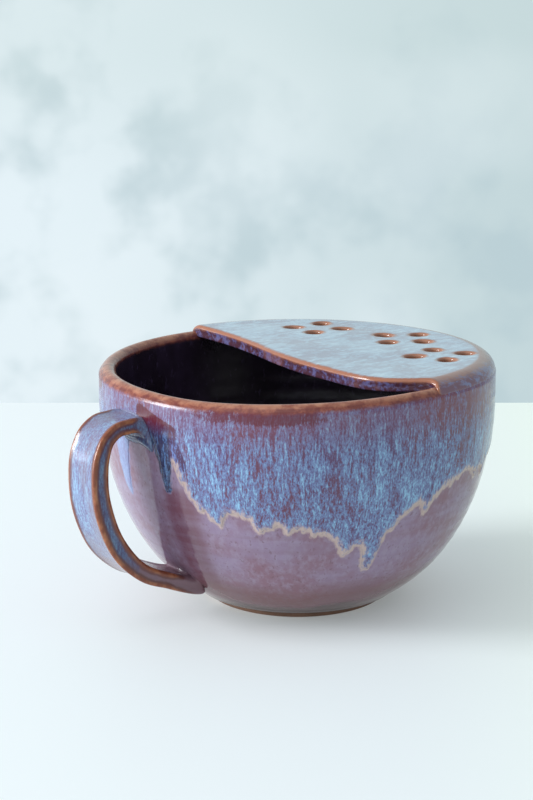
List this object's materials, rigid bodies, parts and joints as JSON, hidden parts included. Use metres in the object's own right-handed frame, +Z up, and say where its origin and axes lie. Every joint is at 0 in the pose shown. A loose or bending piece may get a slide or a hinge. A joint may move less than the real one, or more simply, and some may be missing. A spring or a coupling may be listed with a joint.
{
  "type": "yarn bowl",
  "caption": "Thrown stoneware yarn bowl with a strap handle, a half cover pierced by needle holes, and a slot that guides the working yarn.",
  "frame": {"origin": "centre of the foot ring's resting face, on the bowl's axis", "axes": "+Z up along the bowl's axis, handle along -X, half cover over the +X half, yarn slot at the -Y end of the cover's edge"},
  "size_m": [0.1827, 0.1601, 0.1002],
  "materials": {
    "stoneware": "fired stoneware, covered by glaze",
    "bare_foot": "bare, smooth fired clay",
    "base_glaze": "glossy dusty mauve, finely mottled",
    "over_glaze": "glossy, light blue streaks running down over purple",
    "liner_glaze": "glossy near-black",
    "cover_glaze": "glossy grey-blue, breaking brown on edges",
    "handle_glaze": "glossy slate blue and mauve, breaking brown on edges"
  },
  "bodies": {
    "root": {"bowl_wall": "stoneware", "foot_ring": "bare_foot", "half_cover": "cover_glaze", "cover_joint_coil": "liner_glaze", "handle_strap": "handle_glaze", "handle_upper_joint": "handle_glaze", "handle_lower_joint": "handle_glaze", "base_glaze": "base_glaze", "over_glaze": "over_glaze", "liner_glaze": "liner_glaze"}
  },
  "joints": []
}
